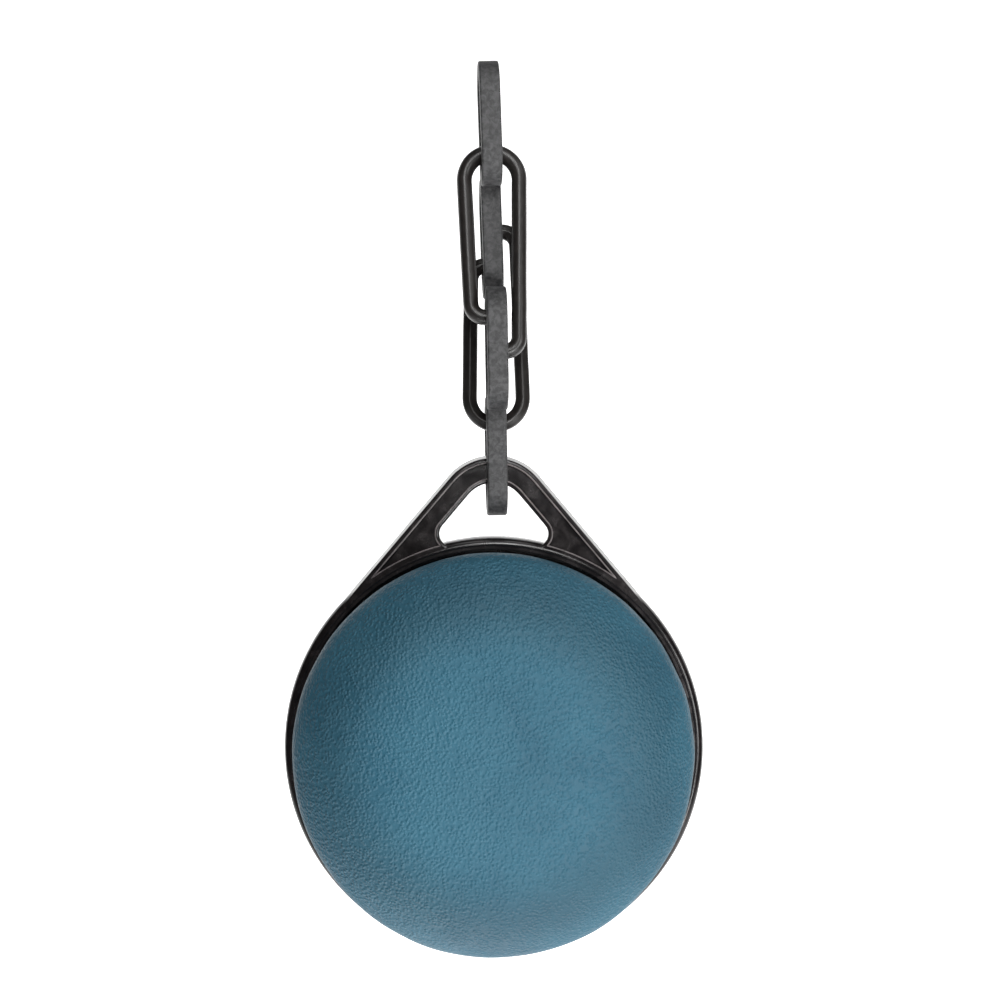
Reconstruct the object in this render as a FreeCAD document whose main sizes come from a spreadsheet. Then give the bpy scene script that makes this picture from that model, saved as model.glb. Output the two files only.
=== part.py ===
import FreeCAD, Part
import math
import os
import Sketcher

# Hanging round pad on a short plastic chain.  Units are mm.  +Z is up, the
# padded face looks along -Y, and the origin is the inside top of the upper
# loop, where the object hangs.

doc = FreeCAD.newDocument("hanging_pad")
dims = doc.addObject("Spreadsheet::Sheet", "dims")

# Driving sizes, then sizes worked out from them.
DRIVING = [
    # split oval links
    ("oval_width", 16.5), ("oval_wire", 3.6), ("oval_depth", 4.8), ("oval_corner", 1.1),
    ("long_reach", 42.05), ("short_reach", 34.05), ("curl_radius", 3.4), ("arm_lean", 3.0),
    ("curl_end", 50.0),
    # S-shaped links
    ("strip_width", 4.8), ("strip_thick", 3.6), ("strip_corner", 1.0), ("leg_pitch", 11.2),
    ("loop_length", 29.0), ("ess_length", 54.0), ("tip_angle", 63.5),
    # where the links hang
    ("chain_y", 5.635), ("top_x", 0.522), ("top_z", -23.386), ("top_lean", -2.0), ("top_turn", 3.0),
    ("front_x", 0.87), ("front_z", -24.2), ("rear_x", 1.9), ("rear_z", -74.55), ("rear_lean", -2.4),
    ("low_x", 1.9), ("low_z", -76.15), ("low_lean", -1.0), ("low_turn", 3.0),
    # holder: eye plate and dish
    ("dish_x", 1.32), ("dish_z", -159.1), ("dish_radius", 51.0), ("lip_radius", 49.2),
    ("cup_radius", 47.9), ("plate_front", 2.9), ("plate_back", 8.3), ("flare_back", 8.6), ("dish_back", 14.0),
    ("floor_front", 11.5), ("heel_radius", 46.2), ("plate_hole", 44.0), ("plate_round", 49.6),
    ("eye_rise", 56.0), ("eye_radius", 14.9), ("eye_bar", 6.95), ("window_corner", 3.0),
    ("outer_rib", 2.1), ("window_rib", 0.95), ("rim_rib", 50.4), ("recess_depth", 1.5),
    ("plate_draft", 11.0), ("plate_clear", 48.2), ("merge_far", 48.9), ("merge_angle", 10.0),
    ("bar_round", 0.7),
    # pad: tight edge arc, wide shoulder arc, then a shallow crown
    ("pad_radius", 47.4), ("pad_fit", 47.0), ("pad_wide", -6.0), ("pad_rear", 11.4),
    ("edge_bend", 7.0), ("edge_angle", 45.0), ("shoulder", 30.0), ("crown_angle", 82.0),
    ("skin_thick", 1.2), ("soft_gap", 0.15),
    ("tuck_radius", 39.0), ("board_front", 8.0), ("board_back", 10.05),
    ("glue_radius", 37.5), ("glue_back", 11.45), ("glue_front", 10.15),
]
DERIVED = [
    ("bend", "oval_width / 2 - oval_wire / 2"),
    ("bend_x", "bend * cos(arm_lean)"),
    ("bend_z", "bend * sin(arm_lean)"),
    ("diag", "bend * cos(45)"),
    ("long_centre_x", "bend - curl_radius"),
    ("long_centre_z", "long_reach - oval_wire / 2 - curl_radius"),
    ("long_low_z", "long_reach - oval_wire / 2"),
    ("long_tip_x", "long_centre_x - curl_radius * sin(curl_end)"),
    ("long_tip_z", "long_centre_z + curl_radius * cos(curl_end)"),
    ("short_centre_z", "short_reach - oval_wire / 2 - curl_radius"),
    ("short_foot_z", "short_centre_z + curl_radius * sin(arm_lean)"),
    ("short_foot_x", "bend_x - (short_foot_z - bend_z) * tan(arm_lean)"),
    ("short_centre_x", "short_foot_x - curl_radius * cos(arm_lean)"),
    ("short_low_z", "short_reach - oval_wire / 2"),
    ("short_tip_x", "short_centre_x - curl_radius * sin(curl_end)"),
    ("short_tip_z", "short_centre_z + curl_radius * cos(curl_end)"),
    ("ring", "leg_pitch / 2"),
    ("front_y", "chain_y - ring"), ("rear_y", "chain_y + ring"),
    ("end_z", "ess_length / 2 - ring - strip_thick / 2"),
    ("ess_top_z", "ess_length / 2 - strip_thick / 2"),
    ("turn_z", "ess_length / 2 - loop_length + ring + strip_thick / 2"),
    ("turn_low_z", "turn_z - ring"),
    ("ess_tip_y", "ring - ring * cos(tip_angle)"),
    ("ess_tip_z", "turn_z - ring * sin(tip_angle)"),
    ("slope", "asin((dish_radius - eye_radius) / eye_rise)"),
    ("away_x", "cos(slope)"), ("away_z", "sin(slope)"),
    ("hull_eye_x", "eye_radius * away_x"),
    ("hull_eye_z", "eye_rise + eye_radius * away_z"),
    ("hull_top_z", "eye_rise + eye_radius"),
    ("hull_rim_x", "dish_radius * away_x"),
    ("hull_rim_z", "dish_radius * away_z"),
    ("merge_x", "merge_far * cos(merge_angle)"),
    ("merge_z", "merge_far * sin(merge_angle)"),
    ("merge_dx", "merge_x - hull_rim_x"),
    ("merge_dz", "merge_z + hull_rim_z"),
    ("merge_bend", "(merge_dx * merge_dx + merge_dz * merge_dz)"
                   " / (2 * (merge_dz * away_z - merge_dx * away_x))"),
    ("hole_x", "plate_hole * cos(merge_angle)"),
    ("hole_z", "plate_hole * sin(merge_angle)"),
    ("win_radius", "eye_radius - eye_bar"),
    ("win_eye_x", "win_radius * away_x"),
    ("win_eye_z", "eye_rise + win_radius * away_z"),
    ("win_top_z", "eye_rise + win_radius"),
    ("corner_off", "dish_radius - eye_bar - window_corner"),
    ("corner_far", "plate_round + window_corner"),
    ("corner_run", "sqrt(corner_far * corner_far - corner_off * corner_off)"),
    ("corner_x", "corner_off * away_x - corner_run * away_z"),
    ("corner_z", "corner_off * away_z + corner_run * away_x"),
    ("win_side_x", "corner_x + window_corner * away_x"),
    ("win_side_z", "corner_z + window_corner * away_z"),
    ("win_foot_x", "corner_x * plate_round / corner_far"),
    ("win_foot_z", "corner_z * plate_round / corner_far"),
    ("rec_radius", "eye_radius - outer_rib"),
    ("rec_eye_x", "rec_radius * away_x"),
    ("rec_eye_z", "eye_rise + rec_radius * away_z"),
    ("rec_top_z", "eye_rise + rec_radius"),
    ("rec_off", "dish_radius - outer_rib"),
    ("rec_run", "sqrt(rim_rib * rim_rib - rec_off * rec_off)"),
    ("rec_toe_x", "rec_off * away_x - rec_run * away_z"),
    ("rec_toe_z", "rec_off * away_z + rec_run * away_x"),
    ("isle_radius", "win_radius + window_rib"),
    ("isle_eye_x", "isle_radius * away_x"),
    ("isle_eye_z", "eye_rise + isle_radius * away_z"),
    ("isle_top_z", "eye_rise + isle_radius"),
    ("isle_corner", "window_corner + window_rib"),
    ("isle_side_x", "corner_x + isle_corner * away_x"),
    ("isle_side_z", "corner_z + isle_corner * away_z"),
    ("isle_along", "(corner_far * corner_far + rim_rib * rim_rib - isle_corner * isle_corner)"
                   " / (2 * corner_far)"),
    ("isle_across", "sqrt(rim_rib * rim_rib - isle_along * isle_along)"),
    ("isle_foot_x", "(isle_along * corner_x + isle_across * corner_z) / corner_far"),
    ("isle_foot_z", "(isle_along * corner_z - isle_across * corner_x) / corner_far"),
    ("crown_cos", "cos(crown_angle)"), ("crown_sin", "sin(crown_angle)"),
    ("edge_cos", "cos(edge_angle)"), ("edge_sin", "sin(edge_angle)"),
    ("edge_mid", "pad_radius - edge_bend"),
    ("bend_gap", "shoulder - edge_bend"),
    ("shoulder_x", "edge_mid - bend_gap * edge_cos"),
    ("shoulder_y", "pad_wide + bend_gap * edge_sin"),
    ("crown_y", "shoulder_y + shoulder_x * crown_sin / crown_cos"),
    ("out_crown", "shoulder + shoulder_x / crown_cos"),
    ("foam_in", "skin_thick + soft_gap"),
    ("in_edge", "edge_bend - skin_thick"), ("in_shoulder", "shoulder - skin_thick"),
    ("in_crown", "out_crown - skin_thick"),
    ("foam_edge", "edge_bend - foam_in"), ("foam_shoulder", "shoulder - foam_in"),
    ("foam_crown", "out_crown - foam_in"),
    ("out_x", "edge_mid + edge_bend * edge_cos"), ("out_y", "pad_wide - edge_bend * edge_sin"),
    ("in_x", "edge_mid + in_edge * edge_cos"), ("in_y", "pad_wide - in_edge * edge_sin"),
    ("foam_x", "edge_mid + foam_edge * edge_cos"), ("foam_y", "pad_wide - foam_edge * edge_sin"),
    ("out_rise_x", "shoulder_x + shoulder * crown_cos"),
    ("out_rise_y", "shoulder_y - shoulder * crown_sin"),
    ("in_rise_x", "shoulder_x + in_shoulder * crown_cos"),
    ("in_rise_y", "shoulder_y - in_shoulder * crown_sin"),
    ("foam_rise_x", "shoulder_x + foam_shoulder * crown_cos"),
    ("foam_rise_y", "shoulder_y - foam_shoulder * crown_sin"),
    ("out_top", "crown_y - out_crown"), ("in_top", "crown_y - in_crown"),
    ("foam_top", "crown_y - foam_crown"),
    ("in_side", "pad_radius - skin_thick"), ("in_fit", "pad_fit - skin_thick"),
    ("in_rear", "pad_rear - skin_thick"),
    ("foam_side", "in_side - soft_gap"), ("foam_fit", "in_fit - 2 * soft_gap"),
    ("foam_rear", "board_front - soft_gap"),
]


def cell(index):
    return "B%d" % index


def fill_sheet():
    """Plain numbers first; derived cells are formulas on the aliases above them."""
    row = 1
    for alias, value in DRIVING:
        dims.set("A%d" % row, alias)
        dims.set(cell(row), str(value))
        dims.setAlias(cell(row), alias)
        row += 1
    doc.recompute()
    for alias, formula in DERIVED:
        dims.set("A%d" % row, alias)
        dims.set(cell(row), "=" + formula)
        dims.setAlias(cell(row), alias)
        row += 1
    doc.recompute()


fill_sheet()


def term(text):
    """Value and expression of a term: "0", "alias", "-alias" or "a + b"."""
    total, parts, sign = 0.0, [], 1
    for word in text.replace("-", " - ").split():
        if word in "+-":
            sign = -1 if word == "-" else 1
            continue
        if word != "0":
            value = dims.get(word)
            total += sign * float(getattr(value, "Value", value))
            parts.append(("-" if sign < 0 else "+") + "dims." + word)
        sign = 1
    return total, "".join(parts).lstrip("+")


def origin_plane(body, role):
    return [f for f in body.Origin.OriginFeatures if f.Role == role][0]


def new_body(label):
    body = doc.addObject("PartDesign::Body", label)
    body.Label = label
    return body


def new_sketch(body, name, role, offset="0"):
    """Sketch on one of the body's own planes, moved along its normal."""
    sketch = body.newObject("Sketcher::SketchObject", name)
    sketch.AttachmentSupport = (origin_plane(body, role), [""])
    sketch.MapMode = "FlatFace"
    if offset != "0":
        sketch.setExpression(".AttachmentOffset.Base.z", term(offset)[1])
    return sketch


def arc_centre(start, end, radius, turn):
    """Centre of the arc under half a circle; turn is +1 for a left-hand turn."""
    mid = ((start[0] + end[0]) / 2, (start[1] + end[1]) / 2)
    dx, dy = end[0] - start[0], end[1] - start[1]
    chord = math.hypot(dx, dy)
    reach = math.sqrt(max(radius * radius - chord * chord / 4, 0.0))
    return mid[0] - turn * dy / chord * reach, mid[1] + turn * dx / chord * reach


def add_outline(sketch, vertices, closed=True):
    """Lines and arcs through vertices (x term, y term, radius term or None, turn).

    Each vertex is pinned by bound distances from the origin; the radius and
    the turn belong to the edge that leaves the vertex.
    """
    points = [(term(v[0])[0], term(v[1])[0]) for v in vertices]
    count = len(vertices)
    edges = count if closed else count - 1
    first = len(sketch.Geometry)
    ends = []
    for i in range(edges):
        start, end = points[i], points[(i + 1) % count]
        radius, turn = vertices[i][2], vertices[i][3]
        a = FreeCAD.Vector(start[0], start[1], 0)
        b = FreeCAD.Vector(end[0], end[1], 0)
        if radius is None:
            sketch.addGeometry(Part.LineSegment(a, b), False)
            ends.append((1, 2))
            continue
        size = term(radius)[0]
        cx, cy = arc_centre(start, end, size, turn)
        circle = Part.Circle(FreeCAD.Vector(cx, cy, 0), FreeCAD.Vector(0, 0, 1), size)
        from_angle = math.atan2(start[1] - cy, start[0] - cx)
        to_angle = math.atan2(end[1] - cy, end[0] - cx)
        if turn > 0:
            sketch.addGeometry(Part.ArcOfCircle(circle, from_angle, to_angle), False)
            ends.append((1, 2))
        else:
            sketch.addGeometry(Part.ArcOfCircle(circle, to_angle, from_angle), False)
            ends.append((2, 1))
    for i in range(edges):
        if closed or i < edges - 1:
            j = (i + 1) % edges
            sketch.addConstraint(Sketcher.Constraint(
                "Coincident", first + i, ends[i][1], first + j, ends[j][0]))
        if vertices[i][2] is not None:
            size, bound = term(vertices[i][2])
            index = sketch.addConstraint(Sketcher.Constraint("Radius", first + i, size))
            sketch.setExpression("Constraints[%d]" % index, bound)
    for i in range(count):
        geo, pos = (first + i, ends[i][0]) if i < edges else (first + i - 1, ends[i - 1][1])
        for axis, kind in ((0, "DistanceX"), (1, "DistanceY")):
            value, bound = term(vertices[i][axis])
            if bound:
                index = sketch.addConstraint(Sketcher.Constraint(
                    kind, -1, 1, geo, pos, value))
                sketch.setExpression("Constraints[%d]" % index, bound)
            else:
                line = -2 if axis == 0 else -1
                sketch.addConstraint(Sketcher.Constraint("PointOnObject", geo, pos, line))


def add_section(sketch, across, along, corner, centre_x):
    """Rounded rectangle whose middle is at (centre_x, 0)."""
    width, bound_w = term(across)
    height, bound_h = term(along)
    radius, bound_r = term(corner)
    middle, bound_m = term(centre_x)
    hw, hh = width / 2, height / 2
    vec = FreeCAD.Vector
    first = len(sketch.Geometry)
    runs = [((hw - radius, -hh), (-hw + radius, -hh)), ((-hw, -hh + radius), (-hw, hh - radius)),
            ((-hw + radius, hh), (hw - radius, hh)), ((hw, hh - radius), (hw, -hh + radius))]
    turns = [((-hw + radius, -hh + radius), math.pi), ((-hw + radius, hh - radius), math.pi / 2),
             ((hw - radius, hh - radius), 0.0), ((hw - radius, -hh + radius), -math.pi / 2)]
    for (p, q), (c, angle) in zip(runs, turns):
        sketch.addGeometry(Part.LineSegment(
            vec(p[0] + middle, p[1], 0), vec(q[0] + middle, q[1], 0)), False)
        circle = Part.Circle(vec(c[0] + middle, c[1], 0), vec(0, 0, 1), radius)
        sketch.addGeometry(Part.ArcOfCircle(circle, angle, angle + math.pi / 2), False)
    for i in range(4):
        line, arc, after = first + 2 * i, first + 2 * i + 1, first + (2 * i + 2) % 8
        sketch.addConstraint(Sketcher.Constraint("Tangent", line, 2, arc, 2))
        sketch.addConstraint(Sketcher.Constraint("Tangent", arc, 1, after, 1))
    for line in (first, first + 4):
        sketch.addConstraint(Sketcher.Constraint("Horizontal", line))
    for line in (first + 2, first + 6):
        sketch.addConstraint(Sketcher.Constraint("Vertical", line))
    for i in (1, 2, 3):
        sketch.addConstraint(Sketcher.Constraint("Equal", first + 1, first + 2 * i + 1))
    bound = [
        (Sketcher.Constraint("Radius", first + 1, radius), bound_r),
        (Sketcher.Constraint("DistanceX", -1, 1, first + 6, 1, middle + hw),
         "(%s) / 2 + %s" % (bound_w, bound_m or "0")),
        (Sketcher.Constraint("DistanceX", -1, 1, first + 2, 1, middle - hw),
         "-(%s) / 2 + %s" % (bound_w, bound_m or "0")),
        (Sketcher.Constraint("DistanceY", -1, 1, first + 4, 1, hh), "(%s) / 2" % bound_h),
        (Sketcher.Constraint("DistanceY", -1, 1, first, 1, -hh), "-(%s) / 2" % bound_h),
    ]
    for constraint, text in bound:
        index = sketch.addConstraint(constraint)
        sketch.setExpression("Constraints[%d]" % index, text)


def sweep(body, name, section, path):
    doc.recompute()
    pipe = body.newObject("PartDesign::AdditivePipe", name)
    pipe.Profile = section
    pipe.Spine = (path, ["Edge%d" % (i + 1) for i in range(path.GeometryCount)])
    pipe.Mode = "Standard"
    doc.recompute()
    return pipe


def place(body, x="0", y="0", z="0", turn="0", lean="0", flip=0.0):
    """Lean about Y, then turn about Z, then move; flip is about X, in degrees."""
    bend = FreeCAD.Rotation(FreeCAD.Vector(0, 0, 1), term(turn)[0])
    tip = FreeCAD.Rotation(FreeCAD.Vector(0, 1, 0), term(lean)[0])
    over = FreeCAD.Rotation(FreeCAD.Vector(1, 0, 0), flip)
    spot = FreeCAD.Vector(term(x)[0], term(y)[0], term(z)[0])
    body.Placement = FreeCAD.Placement(spot, bend * tip * over)
    for key, text in (("x", x), ("y", y), ("z", z)):
        if term(text)[1]:
            body.setExpression(".Placement.Base." + key, term(text)[1])


def opposite(text):
    """The same term with its sign changed."""
    if text == "0":
        return text
    return text[1:] if text.startswith("-") else "-" + text


def build_ess(label, x, z, turn, lean):
    """S-shaped link: a straight middle leg with a loop forward and a loop back."""
    body = new_body(label)
    section = new_sketch(body, label + "_section", "XY_Plane")
    add_section(section, "strip_width", "strip_thick", "strip_corner", "0")
    # Sketch X is the object's Y.  The front loop is the upper one; half a turn
    # in the sketch makes the rear loop from it.
    front = [
        ("0", "0", None, 0),
        ("0", "end_z", "ring", 1),
        ("-ring", "ess_top_z", "ring", 1),
        ("-leg_pitch", "end_z", None, 0),
        ("-leg_pitch", "turn_z", "ring", 1),
        ("-ring", "turn_low_z", "ring", 1),
        ("-ess_tip_y", "ess_tip_z", None, 0),
    ]
    rear = [(opposite(v[0]), opposite(v[1]), v[2], v[3]) for v in front]
    for name, vertices in (("front", front), ("rear", rear)):
        path = new_sketch(body, "%s_%s_path" % (label, name), "YZ_Plane")
        add_outline(path, vertices, closed=False)
        body.Tip = sweep(body, "%s_%s_loop" % (label, name), section, path)
    place(body, x=x, y="chain_y", z=z, turn=turn, lean=lean)
    return body


def build_oval(label, x, y, z, lean="0", flip=0.0):
    """Split oval link: one full bend and two arms ending in staggered curls."""
    body = new_body(label)
    section = new_sketch(body, label + "_section", "XY_Plane")
    add_section(section, "oval_wire", "oval_depth", "oval_corner", "bend")
    long_path = new_sketch(body, label + "_long_path", "XZ_Plane")
    add_outline(long_path, [
        ("bend", "0", None, 0),
        ("bend", "-long_centre_z", "curl_radius", -1),
        ("long_centre_x", "-long_low_z", "curl_radius", -1),
        ("long_tip_x", "-long_tip_z", None, 0),
    ], closed=False)
    short_path = new_sketch(body, label + "_short_path", "XZ_Plane")
    add_outline(short_path, [
        ("bend", "0", "bend", 1),
        ("diag", "diag", "bend", 1),
        ("-diag", "diag", "bend", 1),
        ("-bend_x", "-bend_z", None, 0),
        ("-short_foot_x", "-short_foot_z", "curl_radius", 1),
        ("-short_centre_x", "-short_low_z", "curl_radius", 1),
        ("-short_tip_x", "-short_tip_z", None, 0),
    ], closed=False)
    sweep(body, label + "_long_arm", section, long_path)
    body.Tip = sweep(body, label + "_short_arm", section, short_path)
    place(body, x=x, y=y, z=z, lean=lean, flip=flip)
    return body


def mirrored(half):
    """Close an outline drawn from the top of the Z axis down its right side."""
    back = []
    for i in range(len(half) - 1, 0, -1):
        x, z = half[i][0], half[i][1]
        radius, turn = half[i - 1][2], half[i - 1][3]
        back.append(("0" if x == "0" else "-" + x, z, radius, turn))
    return back


def build_holder():
    """One moulding: hanging eye, its recessed face, and the dish behind the pad."""
    body = new_body("holder")
    plate = new_sketch(body, "plate_outline", "XZ_Plane", "-plate_back")
    half = [
        ("0", "hull_top_z", "eye_radius", -1),
        ("hull_eye_x", "hull_eye_z", None, 0),
        ("hull_rim_x", "hull_rim_z", "merge_bend", -1),
        ("merge_x", "-merge_z", None, 0),
        ("hole_x", "-hole_z", "plate_hole", 1),
        ("0", "plate_hole", "plate_hole", 1),
    ]
    add_outline(plate, half[:-1] + mirrored(half))
    pad = body.newObject("PartDesign::Pad", "plate")
    pad.Profile = plate
    pad.setExpression("Length", "dims.plate_back - dims.plate_front")
    pad.setExpression("TaperAngle", "-dims.plate_draft")
    doc.recompute()

    opening = new_sketch(body, "window_outline", "XZ_Plane", "-plate_front")
    half = [
        ("0", "win_top_z", "win_radius", -1),
        ("win_eye_x", "win_eye_z", None, 0),
        ("win_side_x", "win_side_z", "window_corner", -1),
        ("win_foot_x", "win_foot_z", "plate_round", 1),
    ]
    add_outline(opening, half + mirrored(half))
    cut = body.newObject("PartDesign::Pocket", "window")
    cut.Profile = opening
    cut.Type = "ThroughAll"
    before = pad.Shape.Volume
    doc.recompute()
    assert cut.Shape.Volume < before - 500

    # The hull's and the window's edges, front and back, but not the arc inside the dish.
    eye = body.newObject("PartDesign::Fillet", "eye_rounding")
    picked = []
    front, back, top_z = (term(t)[0] for t in ("plate_front", "plate_back", "plate_clear"))
    for number, edge in enumerate(cut.Shape.Edges, 1):
        box = edge.BoundBox
        on_face = min(abs(box.YMax - front), abs(box.YMax - back)) < 1e-6
        level = box.YMax - box.YMin < 1e-6
        if on_face and level and box.ZMax > top_z:
            picked.append("Edge%d" % number)
    eye.Base = (cut, picked)
    eye.setExpression("Radius", "dims.bar_round")
    doc.recompute()

    clear = new_sketch(body, "clearance_outline", "XZ_Plane", "-plate_front")
    circle = clear.addGeometry(Part.Circle(
        FreeCAD.Vector(0, 0, 0), FreeCAD.Vector(0, 0, 1), term("plate_clear")[0]), False)
    clear.addConstraint(Sketcher.Constraint("Coincident", circle, 3, -1, 1))
    index = clear.addConstraint(Sketcher.Constraint("Radius", circle, term("plate_clear")[0]))
    clear.setExpression("Constraints[%d]" % index, "dims.plate_clear")
    clearance = body.newObject("PartDesign::Pocket", "pad_clearance")
    clearance.Profile = clear
    clearance.Type = "ThroughAll"
    before = eye.Shape.Volume
    doc.recompute()
    assert clearance.Shape.Volume < before - 500

    recess = new_sketch(body, "recess_outline", "XZ_Plane", "-plate_front")
    half = [
        ("0", "rec_top_z", "rec_radius", -1),
        ("rec_eye_x", "rec_eye_z", None, 0),
        ("rec_toe_x", "rec_toe_z", "rim_rib", 1),
        ("isle_foot_x", "isle_foot_z", "isle_corner", 1),
        ("isle_side_x", "isle_side_z", None, 0),
        ("isle_eye_x", "isle_eye_z", "isle_radius", 1),
        ("0", "isle_top_z", "isle_radius", 1),
    ]
    add_outline(recess, half[:-1] + mirrored(half))
    shallow = body.newObject("PartDesign::Pocket", "recess")
    shallow.Profile = recess
    shallow.setExpression("Length", "dims.recess_depth")
    before = clearance.Shape.Volume
    doc.recompute()
    assert shallow.Shape.Volume < before - 100

    profile = new_sketch(body, "dish_profile", "XY_Plane")
    add_outline(profile, [
        ("0", "floor_front", None, 0),
        ("cup_radius", "floor_front", None, 0),
        ("cup_radius", "plate_front", None, 0),
        ("lip_radius", "plate_front", None, 0),
        ("dish_radius", "flare_back", None, 0),
        ("dish_radius", "plate_back + bar_round", None, 0),
        ("heel_radius", "dish_back", None, 0),
        ("0", "dish_back", None, 0),
    ])
    dish = body.newObject("PartDesign::Revolution", "dish")
    dish.Profile = profile
    dish.ReferenceAxis = (profile, ["V_Axis"])
    dish.Angle = 360.0
    doc.recompute()
    body.Tip = dish
    place(body, x="dish_x", y="chain_y", z="dish_z")
    return body


def build_turned(label, vertices):
    """Solid of revolution about the pad's own front-to-back axis."""
    body = new_body(label)
    profile = new_sketch(body, label + "_profile", "XY_Plane")
    add_outline(profile, vertices)
    turned = body.newObject("PartDesign::Revolution", label + "_turned")
    turned.Profile = profile
    turned.ReferenceAxis = (profile, ["V_Axis"])
    turned.Angle = 360.0
    doc.recompute()
    body.Tip = turned
    place(body, x="dish_x", y="chain_y", z="dish_z")
    return body


def write(bodies):
    """Check every object and every solid, then write one STEP file for each node."""
    doc.recompute()
    for item in doc.Objects:
        assert "Invalid" not in item.State and "Error" not in item.State, (item.Name, item.State)
    os.makedirs("parts", exist_ok=True)
    for body in bodies:
        shape = body.Shape
        assert not shape.isNull() and shape.isValid() and len(shape.Solids) == 1, body.Label
        shape.exportStep("parts/%s.step" % body.Label)
        box = shape.BoundBox
        print("%-18s %9.1f mm3  X %.2f..%.2f  Y %.2f..%.2f  Z %.2f..%.2f" % (
            body.Label, shape.Volume, box.XMin, box.XMax, box.YMin, box.YMax, box.ZMin, box.ZMax))


nodes = [
    build_ess("top_s_link", "top_x", "top_z", "top_turn", "top_lean"),
    build_oval("front_oval_link", "front_x", "front_y", "front_z"),
    build_oval("rear_oval_link", "rear_x", "rear_y", "rear_z", "rear_lean", 180.0),
    build_ess("bottom_s_link", "low_x", "low_z", "low_turn", "low_lean"),
    build_holder(),
    build_turned("pad_skin", [
        ("tuck_radius", "pad_rear", None, 0),
        ("pad_fit", "pad_rear", None, 0),
        ("pad_radius", "pad_wide", "edge_bend", -1),
        ("out_x", "out_y", "shoulder", -1),
        ("out_rise_x", "out_rise_y", "out_crown", -1),
        ("0", "out_top", None, 0),
        ("0", "in_top", "in_crown", 1),
        ("in_rise_x", "in_rise_y", "in_shoulder", 1),
        ("in_x", "in_y", "in_edge", 1),
        ("in_side", "pad_wide", None, 0),
        ("in_fit", "in_rear", None, 0),
        ("tuck_radius", "in_rear", None, 0),
    ]),
    build_turned("pad_foam", [
        ("0", "foam_rear", None, 0),
        ("foam_fit", "foam_rear", None, 0),
        ("foam_side", "pad_wide", "foam_edge", -1),
        ("foam_x", "foam_y", "foam_shoulder", -1),
        ("foam_rise_x", "foam_rise_y", "foam_crown", -1),
        ("0", "foam_top", None, 0),
    ]),
    build_turned("pad_board", [
        ("0", "board_back", None, 0),
        ("foam_fit", "board_back", None, 0),
        ("foam_fit", "board_front", None, 0),
        ("0", "board_front", None, 0),
    ]),
    build_turned("fixing_disc", [
        ("0", "glue_back", None, 0),
        ("glue_radius", "glue_back", None, 0),
        ("glue_radius", "glue_front", None, 0),
        ("0", "glue_front", None, 0),
    ]),
]
write(nodes)
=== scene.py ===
import math

import bmesh
import bpy
from mathutils import Matrix, Vector, noise


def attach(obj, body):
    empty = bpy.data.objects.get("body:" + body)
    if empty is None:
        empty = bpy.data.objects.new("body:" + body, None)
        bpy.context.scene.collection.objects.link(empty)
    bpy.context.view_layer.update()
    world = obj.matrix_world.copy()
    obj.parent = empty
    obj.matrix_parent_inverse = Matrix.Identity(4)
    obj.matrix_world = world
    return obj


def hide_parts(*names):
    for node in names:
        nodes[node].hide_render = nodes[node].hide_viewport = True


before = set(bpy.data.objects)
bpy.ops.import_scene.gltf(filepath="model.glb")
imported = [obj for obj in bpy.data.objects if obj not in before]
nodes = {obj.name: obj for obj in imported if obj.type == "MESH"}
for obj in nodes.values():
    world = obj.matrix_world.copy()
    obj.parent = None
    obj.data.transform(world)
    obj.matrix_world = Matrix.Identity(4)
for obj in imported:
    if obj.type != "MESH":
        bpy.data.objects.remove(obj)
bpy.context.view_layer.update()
MM = 0.001

# Placements in mm, as in the CAD part.
CHAIN_Y = 5.635
DISH = Vector((1.32, CHAIN_Y, -159.1))


# ---------------------------------------------------------------- mesh tools

def new_object(name, bm, material):
    """Turns a bmesh drawn in mm into an object in metres."""
    bmesh.ops.recalc_face_normals(bm, faces=bm.faces)
    bmesh.ops.scale(bm, vec=(MM, MM, MM), verts=bm.verts)
    mesh = bpy.data.meshes.new(name)
    bm.to_mesh(mesh)
    bm.free()
    mesh.polygons.foreach_set("use_smooth", [True] * len(mesh.polygons))
    obj = bpy.data.objects.new(name, mesh)
    bpy.context.scene.collection.objects.link(obj)
    obj.data.materials.append(material)
    return obj


def add_modifier(obj, kind, **settings):
    modifier = obj.modifiers.new(kind.lower(), kind)
    for key, value in settings.items():
        setattr(modifier, key, value)
    bpy.context.view_layer.objects.active = obj
    obj.select_set(True)
    bpy.ops.object.modifier_apply(modifier=modifier.name)
    obj.select_set(False)


def arc(cx, cy, radius, start, end, step=4.0):
    """Points on an arc, angles in degrees, both ends included."""
    count = max(2, int(abs(end - start) / step))
    return [(cx + radius * math.cos(math.radians(start + (end - start) * i / count)),
             cy + radius * math.sin(math.radians(start + (end - start) * i / count)))
            for i in range(count + 1)]


def spaced(points, step):
    """The same polyline with points about step apart."""
    out = [Vector(points[0])]
    for p, q in zip(points, points[1:]):
        p, q = Vector(p), Vector(q)
        length = (q - p).length
        if length < 1e-6:
            continue
        count = max(1, round(length / step))
        out += [p.lerp(q, i / count) for i in range(1, count + 1)]
    return out


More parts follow.
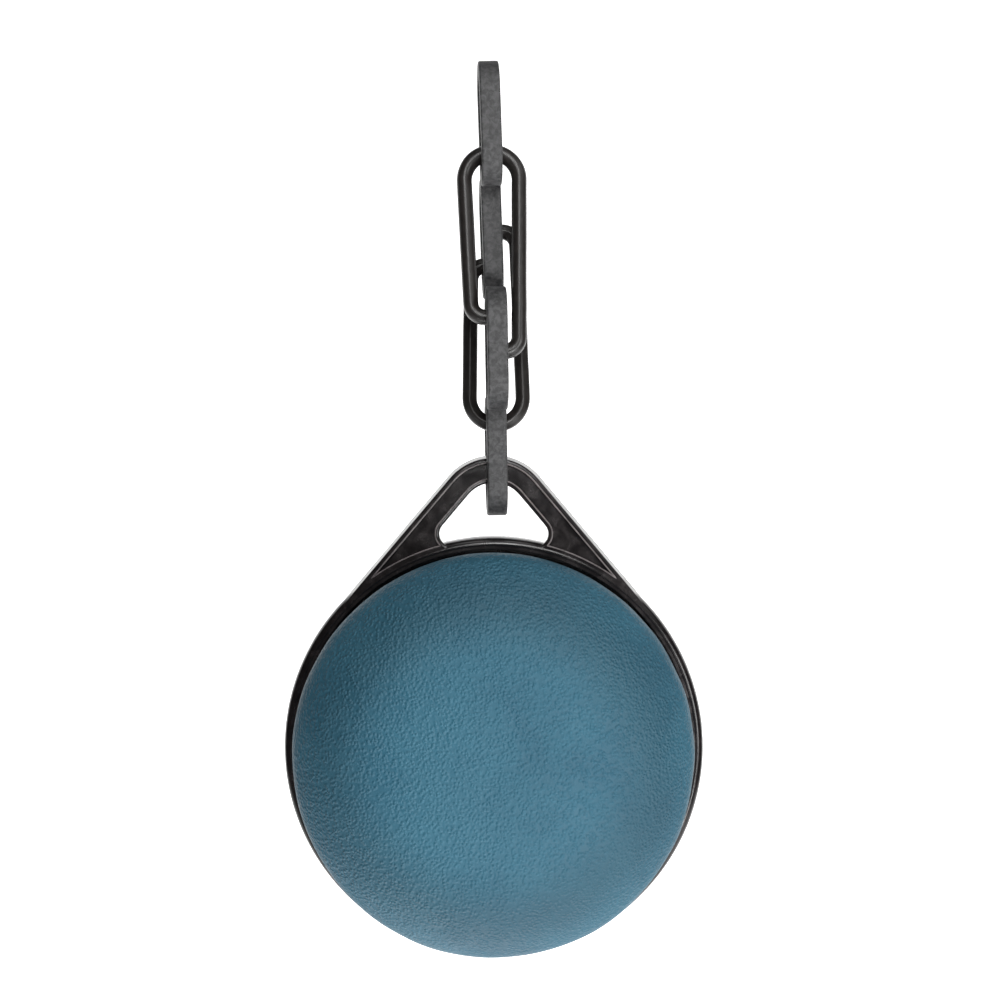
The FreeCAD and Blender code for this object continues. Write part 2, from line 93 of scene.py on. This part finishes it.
def sweep(path, section, to_space, tip=0.0, wander=0.0, seed=0.0):
    """Sweeps a closed section along a planar path.

    section points are (u, v): u across the path in its plane, v out of it.
    to_space(a, b, v) gives the point in space.  tip rounds both ends.
    """
    bm = bmesh.new()
    rings = []
    count = len(path)
    stations = []
    for i in range(count):
        tangent = (path[min(i + 1, count - 1)] - path[max(i - 1, 0)]).normalized()
        stations.append((path[i], tangent, 1.0))
    if tip:
        steps = 5
        head, tail = stations[0], stations[-1]
        front = [(head[0] - head[1] * tip * math.sin(math.pi / 2 * k / steps), head[1],
                  0.25 + 0.75 * math.cos(math.pi / 2 * k / steps)) for k in range(steps, 0, -1)]
        back = [(tail[0] + tail[1] * tip * math.sin(math.pi / 2 * k / steps), tail[1],
                 0.25 + 0.75 * math.cos(math.pi / 2 * k / steps)) for k in range(1, steps + 1)]
        stations = front + stations + back
    for spot, tangent, scale in stations:
        side = Vector((-tangent.y, tangent.x))
        ring = []
        for u, v in section:
            place = spot + side * u * scale
            point = to_space(place.x, place.y, v * scale)
            if wander:
                drift = noise.noise(point * 0.16 + Vector((seed, 0, 0)))
                point = point + Vector(to_space(side.x * drift, side.y * drift, 0)) * wander
            ring.append(bm.verts.new(point))
        rings.append(ring)
    for low, high in zip(rings, rings[1:]):
        for k in range(len(section)):
            m = (k + 1) % len(section)
            bm.faces.new((low[k], low[m], high[m], high[k]))
    bm.faces.new(rings[0])
    bm.faces.new(list(reversed(rings[-1])))
    return bm


def in_xz(a, b, v):
    return Vector((a, v, b))


def in_yz(a, b, v):
    return Vector((v, a, b))


def rounded_box(width, height, radius, steps=4):
    """Closed section of a rounded rectangle, with width along u."""
    points = []
    for sx, sy, start in ((1, 1, 0), (-1, 1, 90), (-1, -1, 180), (1, -1, 270)):
        cx, cy = sx * (width / 2 - radius), sy * (height / 2 - radius)
        points += arc(cx, cy, radius, start, start + 90, 90 / steps)
    flats = []
    for p, q in zip(points, points[1:] + points[:1]):
        flats.append(p)
        if math.dist(p, q) > 1.0:
            flats += [(p[0] + (q[0] - p[0]) * t, p[1] + (q[1] - p[1]) * t) for t in (0.12, 0.5, 0.88)]
    return flats


def lathe(profile, segments, centre):
    """Revolves (radius, y) points about the Y axis through centre; pole points have radius 0."""
    bm = bmesh.new()
    rings = []
    for radius, y in profile:
        if radius < 1e-6:
            rings.append([bm.verts.new(centre + Vector((0, y, 0)))])
            continue
        rings.append([bm.verts.new(centre + Vector((
            radius * math.cos(2 * math.pi * s / segments), y,
            radius * math.sin(2 * math.pi * s / segments)))) for s in range(segments)])
    for low, high in zip(rings, rings[1:]):
        for s in range(segments):
            t = (s + 1) % segments
            corners = [low[s % len(low)], low[t % len(low)], high[t % len(high)], high[s % len(high)]]
            unique = []
            for corner in corners:
                if corner not in unique:
                    unique.append(corner)
            bm.faces.new(unique)
    return bm


# ----------------------------------------------------------------- materials

class Nodes:
    """Short calls for building one material's node tree."""

    def __init__(self, name):
        self.material = bpy.data.materials.new(name)
        self.material.use_nodes = True
        self.tree = self.material.node_tree
        self.shader = self.tree.nodes["Principled BSDF"]
        self.where = self.add("ShaderNodeTexCoord").outputs["Object"]

    def add(self, kind, **settings):
        node = self.tree.nodes.new(kind)
        for key, value in settings.items():
            setattr(node, key, value)
        return node

    def link(self, source, target):
        self.tree.links.new(source, target)

    def put(self, socket, value):
        if isinstance(value, bpy.types.NodeSocket):
            self.link(value, socket)
        else:
            socket.default_value = value

    def noise(self, scale, detail=3.0, rough=0.55, distortion=0.0, where=None):
        node = self.add("ShaderNodeTexNoise")
        self.link(where or self.where, node.inputs["Vector"])
        node.inputs["Scale"].default_value = scale
        node.inputs["Detail"].default_value = detail
        node.inputs["Roughness"].default_value = rough
        node.inputs["Distortion"].default_value = distortion
        return node.outputs["Fac"]

    def cells(self, scale, feature="F1", where=None):
        node = self.add("ShaderNodeTexVoronoi", feature=feature)
        self.link(where or self.where, node.inputs["Vector"])
        node.inputs["Scale"].default_value = scale
        return node.outputs["Distance"]

    def ramp(self, factor, low, high, to_low=0.0, to_high=1.0):
        node = self.add("ShaderNodeMapRange", interpolation_type="SMOOTHSTEP")
        self.link(factor, node.inputs["Value"])
        for key, value in (("From Min", low), ("From Max", high), ("To Min", to_low), ("To Max", to_high)):
            node.inputs[key].default_value = value
        return node.outputs["Result"]

    def mix(self, factor, a, b):
        node = self.add("ShaderNodeMix", data_type="RGBA")
        self.put(node.inputs["Factor"], factor)
        self.put(node.inputs[6], a)
        self.put(node.inputs[7], b)
        return node.outputs[2]

    def math(self, operation, a, b=0.0):
        node = self.add("ShaderNodeMath", operation=operation)
        self.put(node.inputs[0], a)
        self.put(node.inputs[1], b)
        return node.outputs[0]

    def bump(self, height, distance, strength=1.0, normal=None):
        node = self.add("ShaderNodeBump")
        node.inputs["Distance"].default_value = distance
        node.inputs["Strength"].default_value = strength
        self.link(height, node.inputs["Height"])
        if normal is not None:
            self.link(normal, node.inputs["Normal"])
        return node.outputs["Normal"]

    def bevel(self, radius, samples=6):
        node = self.add("ShaderNodeBevel", samples=samples)
        node.inputs["Radius"].default_value = radius
        return node.outputs["Normal"]

    def set(self, **values):
        for key, value in values.items():
            self.put(self.shader.inputs[key.replace("_", " ")], value)
        return self.material


def plastic(name, dark, light, rough_low, rough_high, mottle, relief, edge, wear=0.35):
    """Moulded black plastic: flow mottling, rubbed patches, fine scuffs and softened edges."""
    n = Nodes(name)
    flow = n.noise(mottle, 4.0, 0.6, 0.6)
    fine = n.noise(mottle * 9, 3.0, 0.7)
    colour = n.mix(n.ramp(flow, 0.35, 0.7), dark, light)
    scuff = n.ramp(n.noise(mottle * 3.1, 5.0, 0.75, 1.5), 0.62, 0.78)
    colour = n.mix(n.math("MULTIPLY", scuff, wear), colour, (0.10, 0.095, 0.095, 1))
    rough = n.ramp(flow, 0.3, 0.75, rough_low, rough_high)
    rough = n.math("ADD", rough, n.math("MULTIPLY", scuff, 0.18))
    height = n.math("ADD", n.math("MULTIPLY", flow, 0.6), n.math("MULTIPLY", fine, 0.4))
    normal = n.bump(height, relief, 1.0, n.bevel(edge))
    return n.set(Base_Color=colour, Roughness=rough, Normal=normal, IOR=1.5)


def leather():
    """Fine-grained teal cover: soft raised pebbles, faint pull patches, satin finish."""
    n = Nodes("pad_leather")
    bend = n.add("ShaderNodeTexNoise")
    n.link(n.where, bend.inputs["Vector"])
    bend.inputs["Scale"].default_value = 300.0
    bend.inputs["Detail"].default_value = 2.0
    warp = n.add("ShaderNodeVectorMath", operation="MULTIPLY_ADD")
    n.link(bend.outputs["Color"], warp.inputs[0])
    warp.inputs[1].default_value = (0.0007, 0.0007, 0.0007)
    n.link(n.where, warp.inputs[2])
    where = warp.outputs[0]
    dome = n.ramp(n.cells(1250.0, where=where), 0.75, 0.0)
    small = n.noise(2300.0, 2.0, 0.5, 0.2, where)
    broad = n.noise(48.0, 3.0, 0.5, 0.3)
    patch = n.noise(170.0, 3.0, 0.55, 0.6)
    height = n.math("ADD", n.math("MULTIPLY", dome, 0.7), n.math("MULTIPLY", small, 0.25))
    height = n.math("ADD", height, n.math("MULTIPLY", patch, 0.3))
    tone = n.mix(n.ramp(broad, 0.3, 0.72), (0.021, 0.098, 0.150, 1), (0.030, 0.124, 0.182, 1))
    tone = n.mix(n.math("MULTIPLY", n.ramp(patch, 0.35, 0.75), 0.3), tone, (0.040, 0.142, 0.202, 1))
    # Painted shade: the colour is darker in the creases between the pebbles.
    tone = n.mix(n.math("MULTIPLY", n.ramp(dome, 0.35, 0.0), 0.12), tone, (0.011, 0.052, 0.084, 1))
    # Painted shade: a darker ring where the face turns over towards the edge, standing in for the shading of
    # the dome's slope.
    offset = n.add("ShaderNodeVectorMath", operation="SUBTRACT")
    n.link(n.where, offset.inputs[0])
    offset.inputs[1].default_value = DISH * MM
    flat = n.add("ShaderNodeVectorMath", operation="MULTIPLY")
    n.link(offset.outputs[0], flat.inputs[0])
    flat.inputs[1].default_value = (1.0, 0.0, 1.0)
    radius = n.add("ShaderNodeVectorMath", operation="LENGTH")
    n.link(flat.outputs[0], radius.inputs[0])
    away = n.math("ADD", radius.outputs["Value"], n.math("MULTIPLY", broad, 0.006))
    ring = n.math("SUBTRACT", n.ramp(away, 0.025, 0.041), n.math("MULTIPLY", n.ramp(away, 0.041, 0.050), 0.5))
    tone = n.mix(n.math("MULTIPLY", ring, 0.42), tone, (0.016, 0.040, 0.056, 1))
    return n.set(Base_Color=tone, Roughness=n.ramp(patch, 0.3, 0.75, 0.50, 0.60),
                 Normal=n.bump(height, 0.00030, 0.95), Sheen_Weight=0.02, Sheen_Roughness=0.4, IOR=1.38)


def foam_material():
    n = Nodes("foam_open_cell")
    cells = n.cells(900.0)
    tone = n.mix(n.ramp(cells, 0.1, 0.6), (0.42, 0.38, 0.28, 1), (0.78, 0.74, 0.62, 1))
    return n.set(Base_Color=tone, Roughness=0.95, Normal=n.bump(cells, 0.0004))


def board_material():
    n = Nodes("fibre_board")
    fibre = n.noise(600.0, 6.0, 0.7, 1.2)
    tone = n.mix(n.ramp(fibre, 0.35, 0.65), (0.20, 0.12, 0.06, 1), (0.36, 0.25, 0.14, 1))
    return n.set(Base_Color=tone, Roughness=0.8, Normal=n.bump(fibre, 0.0001))


def adhesive_material():
    n = Nodes("adhesive_foam")
    grain = n.noise(1200.0, 3.0)
    tone = n.mix(n.ramp(grain, 0.3, 0.7), (0.60, 0.60, 0.56, 1), (0.74, 0.74, 0.70, 1))
    return n.set(Base_Color=tone, Roughness=0.7, Normal=n.bump(grain, 0.00008))


def backdrop_material(name, glow):
    n = Nodes(name)
    grain = n.noise(40.0, 2.0)
    tone = n.mix(n.ramp(grain, 0.3, 0.7), (0.92, 0.92, 0.92, 1), (0.95, 0.95, 0.95, 1))
    return n.set(Base_Color=tone, Roughness=0.9, Emission_Color=(1, 1, 1, 1), Emission_Strength=glow)


HOLDER = plastic("holder_gloss_black", (0.0080, 0.0068, 0.0072, 1), (0.018, 0.0145, 0.0148, 1),
                 0.14, 0.27, 230.0, 0.00003, 0.0003, wear=0.18)
# Painted highlight: the rib lines get a light grey colour standing in for the glint along the black
# moulding's edges.
RIB_PAINTED_HIGHLIGHT = plastic("holder_rib_painted_highlight", (0.13, 0.115, 0.115, 1), (0.24, 0.21, 0.21, 1),
               0.25, 0.40, 260.0, 0.00003, 0.0001)
OVALS = plastic("oval_link_gloss", (0.0135, 0.0120, 0.0112, 1), (0.019, 0.0165, 0.0155, 1),
                0.30, 0.36, 520.0, 0.00002, 0.0002, wear=0.08)
ESSES = plastic("s_link_satin", (0.020, 0.020, 0.021, 1), (0.074, 0.074, 0.076, 1),
                0.44, 0.60, 820.0, 0.00014, 0.0002, wear=0.3)
LEATHER = leather()


# -------------------------------------------------------------- chain links

BEND = 6.45
CURL = 3.4
LONG_FOOT, SHORT_FOOT = 36.85, 28.85
LEAN = 3.0


def oval_path():
    """From the long arm's curl round the bend to the short arm's curl, in the link's plane."""
    lean = math.radians(LEAN)
    foot_z = SHORT_FOOT + CURL * math.sin(lean)
    foot_x = BEND * math.cos(lean) - (foot_z - BEND * math.sin(lean)) * math.tan(lean)
    short_x = -(foot_x - CURL * math.cos(lean))
    points = arc(BEND - CURL, -LONG_FOOT, CURL, -140, 0)
    points += arc(0, 0, BEND, 0, 180 + LEAN)
    points += arc(short_x, -SHORT_FOOT, CURL, 180 + LEAN, 320)
    return spaced(points, 0.9)


def oval_section():
    """Crowned on one side, two bevels and a ridge on the other."""
    crown = [(1.8 * math.cos(a), -0.5 - 1.9 * math.sin(a))
             for a in (math.pi * k / 14 for k in range(15))]
    back = [(-1.8, 0.35), (-1.74, 0.95), (-1.55, 1.28), (-0.95, 1.82), (-0.32, 2.28), (0.0, 2.4),
            (0.32, 2.28), (0.95, 1.82), (1.55, 1.28), (1.74, 0.95), (1.8, 0.35)]
    return crown + back


def ess_path():
    """From the front tip, up and over, down the middle leg and round to the rear tip."""
    points = arc(-5.6, 5.4, 5.6, 296.5, 180) + arc(-5.6, 19.6, 5.6, 180, 0)
    points += arc(5.6, -19.6, 5.6, 180, 360) + arc(5.6, -5.4, 5.6, 0, 116.5)
    return spaced(points, 0.9)


def make_link(name, path, section, to_space, matrix, material, body, node, seed):
    bm = sweep(path, section, to_space, tip=0.55, wander=0.05, seed=seed)
    bmesh.ops.transform(bm, matrix=matrix, verts=bm.verts)
    link = new_object(name, bm, material)
    add_modifier(link, "SUBSURF", levels=1, render_levels=1)
    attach(link, body)
    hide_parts(node)
    return link


def placed(x, y, z, turn=0.0, lean=0.0, flip=0.0):
    return (Matrix.Translation((x, y, z)) @ Matrix.Rotation(math.radians(turn), 4, "Z")
            @ Matrix.Rotation(math.radians(lean), 4, "Y") @ Matrix.Rotation(math.radians(flip), 4, "X"))


STRIP = rounded_box(3.6, 4.8, 0.45)
make_link("top_link_strip", ess_path(), STRIP, in_yz, placed(0.522, CHAIN_Y, -23.386, 3.0, -2.0),
          ESSES, "top_link", "top_s_link", 1.0)
make_link("bottom_link_strip", ess_path(), STRIP, in_yz, placed(1.9, CHAIN_Y, -76.15, 3.0, -1.0),
          ESSES, "bottom_link", "bottom_s_link", 7.0)
make_link("front_link_wire", oval_path(), oval_section(), in_xz, placed(0.87, CHAIN_Y - 5.6, -24.2),
          OVALS, "front_link", "front_oval_link", 13.0)
make_link("rear_link_wire", oval_path(), oval_section(), in_xz,
          placed(1.9, CHAIN_Y + 5.6, -74.55, lean=-2.4, flip=180.0),
          OVALS, "rear_link", "rear_oval_link", 19.0)


# ---------------------------------------------------------------- the holder

nodes["holder"].data.materials.clear()
nodes["holder"].data.materials.append(HOLDER)

SLOPE = math.asin((51.0 - 14.9) / 56.0)
EYE_UP = 56.0


def bead(name, points, radius, y, closed=False):
    """A thin raised moulding line on the eye's front, drawn in dish coordinates (x, z), coloured light grey
    as a painted highlight.
    """
    path = spaced(points + (points[:1] if closed else []), 0.7)
    section = [(radius * math.cos(a), radius * 0.8 * math.sin(a))
               for a in (2 * math.pi * k / 8 for k in range(8))]
    bm = sweep(path, section, lambda a, b, v: DISH + Vector((a, y + v, b)), tip=0.0 if closed else radius)
    line = new_object(name, bm, RIB_PAINTED_HIGHLIGHT)
    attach(line, "padded_disc")
    return line


def along_slope(distance, run, side):
    """Point on the line parallel to the eye's straight side, distance from the dish's axis."""
    x = distance * math.cos(SLOPE) - run * math.sin(SLOPE)
    return side * x, distance * math.sin(SLOPE) + run * math.cos(SLOPE)


FRONT = 2.9
OUTER_RIB, RIM_RIB, CORNER_R, CORNER_FAR = 2.1, 50.4, 3.95, 52.6


def recess_line():
    """Edge of the eye's sunk face: over the top, down to the toe, along the rim, round the window."""
    slope = math.degrees(SLOPE)
    off = 51.0 - 6.95 - 3.0
    corner = along_slope(off, math.sqrt(CORNER_FAR ** 2 - off ** 2), 1)
    edge = 51.0 - OUTER_RIB
    toe = along_slope(edge, math.sqrt(RIM_RIB ** 2 - edge ** 2), 1)
    along = (CORNER_FAR ** 2 + RIM_RIB ** 2 - CORNER_R ** 2) / (2 * CORNER_FAR)
    across = math.sqrt(RIM_RIB ** 2 - along ** 2)
    foot = ((along * corner[0] + across * corner[1]) / CORNER_FAR,
            (along * corner[1] - across * corner[0]) / CORNER_FAR)
    toe_angle = math.degrees(math.atan2(toe[1], toe[0]))
    foot_angle = math.degrees(math.atan2(foot[1], foot[0]))
    turn = math.degrees(math.atan2(foot[1] - corner[1], foot[0] - corner[0]))
    right = arc(0, EYE_UP, 14.9 - OUTER_RIB, 90, slope) + arc(0, 0, RIM_RIB, toe_angle, foot_angle, 1.5)
    right += arc(*corner, CORNER_R, turn, slope) + arc(0, EYE_UP, 8.9, slope, 90)
    return right + [(-x, z) for x, z in reversed(right)][1:-1]


bead("recess_line", recess_line(), 0.17, FRONT, closed=True)


def make_lip():
    """Rounded lip that carries the dish's front edge over onto its flank."""
    curve = [(48.30, 4.60), (48.32, 3.30), (48.62, 2.82), (49.20, 2.70), (49.85, 2.95), (50.45, 3.60),
             (50.82, 4.70), (50.98, 6.40), (51.00, 8.30), (50.10, 8.50), (49.00, 6.60)]
    bm = lathe(curve + curve[:1], 160, DISH)
    bmesh.ops.remove_doubles(bm, verts=bm.verts, dist=1e-4)
    lip = new_object("dish_lip", bm, HOLDER)
    add_modifier(lip, "SUBSURF", levels=1, render_levels=1)
    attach(lip, "padded_disc")


make_lip()


# ------------------------------------------------------------------- the pad

PAD_R, WIDE_Y = 47.4, -6.0
EDGE, EDGE_TURN = 7.0, 45.0
SHOULDER, CROWN = 30.0, 82.0


def pad_profile(inset):
    """(radius, y) from the middle of the front, over the crown, shoulder and edge, to the back."""
    edge_x = PAD_R - EDGE
    turn, crown = math.radians(EDGE_TURN), math.radians(CROWN)
    gap = SHOULDER - EDGE
    mid_x = edge_x - gap * math.cos(turn)
    mid_y = WIDE_Y + gap * math.sin(turn)
    big = SHOULDER + mid_x / math.cos(crown)
    centre = mid_y + mid_x * math.tan(crown)
    points = []
    for k in range(13):
        angle = math.radians(90.0 - CROWN) * k / 12
        points.append(((big - inset) * math.sin(angle), centre - (big - inset) * math.cos(angle)))
    for k in range(1, 11):
        angle = crown + (turn - crown) * k / 10
        points.append((mid_x + (SHOULDER - inset) * math.cos(angle),
                       mid_y - (SHOULDER - inset) * math.sin(angle)))
    for k in range(1, 7):
        angle = turn * (1 - k / 6)
        points.append((edge_x + (EDGE - inset) * math.cos(angle), WIDE_Y - (EDGE - inset) * math.sin(angle)))
    side = PAD_R - inset
    points += [(side - 0.05 * k, WIDE_Y + 2.1 * k) for k in range(1, 8)]
    points += [(side - 0.9, 10.6), (side - 2.2, 11.25), (side - 5.0, 11.3), (39.5, 11.3)]
    return points


def swell(obj, pinned, cap):
    """Cloth pressure for 20 frames, with each point's movement capped (metres)."""
    group = obj.vertex_groups.new(name="held")
    group.add(pinned, 1.0, "REPLACE")
    before = [v.co.copy() for v in obj.data.vertices]
    cloth = obj.modifiers.new("cloth", "CLOTH")
    cloth.settings.use_pressure = True
    cloth.settings.uniform_pressure_force = 4.0
    cloth.settings.effector_weights.gravity = 0.0
    cloth.settings.vertex_group_mass = "held"
    cloth.settings.quality = 6
    cloth.settings.tension_stiffness = 25.0
    cloth.settings.compression_stiffness = 25.0
    cloth.point_cache.frame_start, cloth.point_cache.frame_end = 1, 20
    for step in range(1, 21):
        bpy.context.scene.frame_set(step)
    shape = obj.evaluated_get(bpy.context.evaluated_depsgraph_get())
    after = [v.co.copy() for v in shape.data.vertices]
    obj.modifiers.remove(cloth)
    bpy.context.scene.frame_set(1)
    for vertex, old, new in zip(obj.data.vertices, before, after):
        move = new - old
        if move.length > cap:
            move *= cap / move.length
        vertex.co = old + move
    obj.vertex_groups.remove(group)


def make_pad():
    profile = pad_profile(0.15)
    closed = profile + [(20.0, 11.3), (0.0, 11.3)]
    bm = lathe(closed, 132, DISH)
    bmesh.ops.remove_doubles(bm, verts=bm.verts, dist=1e-5)
    pad = new_object("pad_cover", bm, LEATHER)
    rear = (DISH.y + 1.5) * MM
    pinned = [v.index for v in pad.data.vertices if v.co.y > rear]
    swell(pad, pinned, 0.0005)
    # Uneven pull of the cover over its edge, and the open back.
    centre = DISH * MM
    for vertex in pad.data.vertices:
        out = Vector((vertex.co.x - centre.x, 0, vertex.co.z - centre.z))
        radius = out.length
        if radius < 1e-6 or vertex.co.y > rear:
            continue
        angle = math.atan2(out.z, out.x)
        edge = min(1.0, max(0.0, (radius - 0.030) / 0.017))
        pull = noise.noise(Vector((math.cos(angle) * 1.7, math.sin(angle) * 1.7, vertex.co.y * 40)))
        ripple = noise.noise(Vector((math.cos(angle) * 6.0, math.sin(angle) * 6.0, vertex.co.y * 120 + 9)))
        right = max(0.0, math.cos(angle)) ** 6
        low = max(0.0, -math.sin(angle)) ** 2
        reach = 0.00022 * pull + (0.00012 + 0.00022 * right) * ripple + 0.00025 * low
        vertex.co += out.normalized() * edge * reach
        vertex.co.y += 0.00018 * noise.noise(vertex.co * 70.0)
    bm = bmesh.new()
    bm.from_mesh(pad.data)
    back = [f for f in bm.faces if all(v.co.y > (DISH.y + 11.2) * MM for v in f.verts)
            and (f.calc_center_median() - centre).length < 0.0405]
    bmesh.ops.delete(bm, geom=back, context="FACES")
    bm.to_mesh(pad.data)
    bm.free()
    add_modifier(pad, "SOLIDIFY", thickness=0.0010, offset=-1.0)
    add_modifier(pad, "SUBSURF", levels=1, render_levels=1)
    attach(pad, "padded_disc")
    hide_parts("pad_skin")
    return pad


make_pad()
for key, material in (("pad_foam", foam_material()), ("pad_board", board_material()),
                      ("fixing_disc", adhesive_material())):
    nodes[key].data.materials.clear()
    nodes[key].data.materials.append(material)


# ------------------------------------------------------------- stage and light

def make_sheet(name, line, material):
    """A wide sheet behind or below the object, drawn through (y, z) points in mm."""
    bm = bmesh.new()
    rows = [[bm.verts.new((x, y, z)) for x in (-1400, -500, 500, 1400)] for y, z in line]
    for low, high in zip(rows, rows[1:]):
        for k in range(3):
            bm.faces.new((low[k], low[k + 1], high[k + 1], high[k]))
    new_object(name, bm, material)


def area_light(name, spot, size, power, aim):
    data = bpy.data.lights.new(name, "AREA")
    data.shape = "RECTANGLE"
    data.size, data.size_y = size[0] * MM, size[1] * MM
    data.energy = power
    light = bpy.data.objects.new(name, data)
    light.location = Vector(spot) * MM
    light.rotation_euler = (Vector(aim) - Vector(spot)).to_track_quat("-Z", "Y").to_euler()
    bpy.context.scene.collection.objects.link(light)


curve = [(450 + 260 * math.sin(a), -440 - 260 * math.cos(a))
         for a in (math.pi / 2 * k / 16 for k in range(17))]
make_sheet("backdrop", [(60, -700)] + curve + [(710, 900)], backdrop_material("white_sweep", 1.0))
make_sheet("studio_floor", [(-1200, -700), (60, -700)], backdrop_material("pale_floor", 0.0))
# The key lights stand away from where the flat eye would mirror them.
PAD_MIDDLE = (1.0, 0.0, -150.0)
area_light("front_high", (120, -600, 280), (260, 260), 1.5, PAD_MIDDLE)
area_light("front_low", (190, -610, -440), (260, 260), 2.8, PAD_MIDDLE)
area_light("chain_strip", (0, -600, 95), (70, 230), 0.85, (0, 0, -30))
area_light("front_right", (430, -550, -160), (260, 260), 1.6, PAD_MIDDLE)
area_light("right_high", (420, -250, 260), (260, 260), 0.3, PAD_MIDDLE)
area_light("right_low", (420, -250, -520), (260, 260), 0.5, PAD_MIDDLE)
area_light("low_graze", (-60, -60, -560), (260, 260), 0.95, PAD_MIDDLE)
area_light("top", (0, -160, 460), (260, 260), 0.4, PAD_MIDDLE)

scene = bpy.context.scene
world = bpy.data.worlds.new("studio")
world.use_nodes = True
# White behind the object, and only a little light from it.
air = world.node_tree.nodes
dim, bright = air["Background"], air.new("ShaderNodeBackground")
dim.inputs["Strength"].default_value = 0.03
dim.inputs["Color"].default_value = bright.inputs["Color"].default_value = (1.0, 1.0, 1.0, 1)
seen, either = air.new("ShaderNodeLightPath"), air.new("ShaderNodeMixShader")
wire = world.node_tree.links.new
wire(seen.outputs["Is Camera Ray"], either.inputs[0])
wire(dim.outputs[0], either.inputs[1])
wire(bright.outputs[0], either.inputs[2])
wire(either.outputs[0], air["World Output"].inputs["Surface"])
scene.world = world
scene.view_settings.view_transform = "Standard"

camera_data = bpy.data.cameras.new("camera")
camera_data.lens = 50.0
camera_data.sensor_width = 36.0
camera_data.clip_start = 0.01
camera_data.dof.use_dof = False
camera = bpy.data.objects.new("camera", camera_data)
camera.location = Vector((2.82, -326.58, -99.35)) * MM
camera.rotation_euler = (math.radians(90), 0, 0)
scene.collection.objects.link(camera)
scene.camera = camera
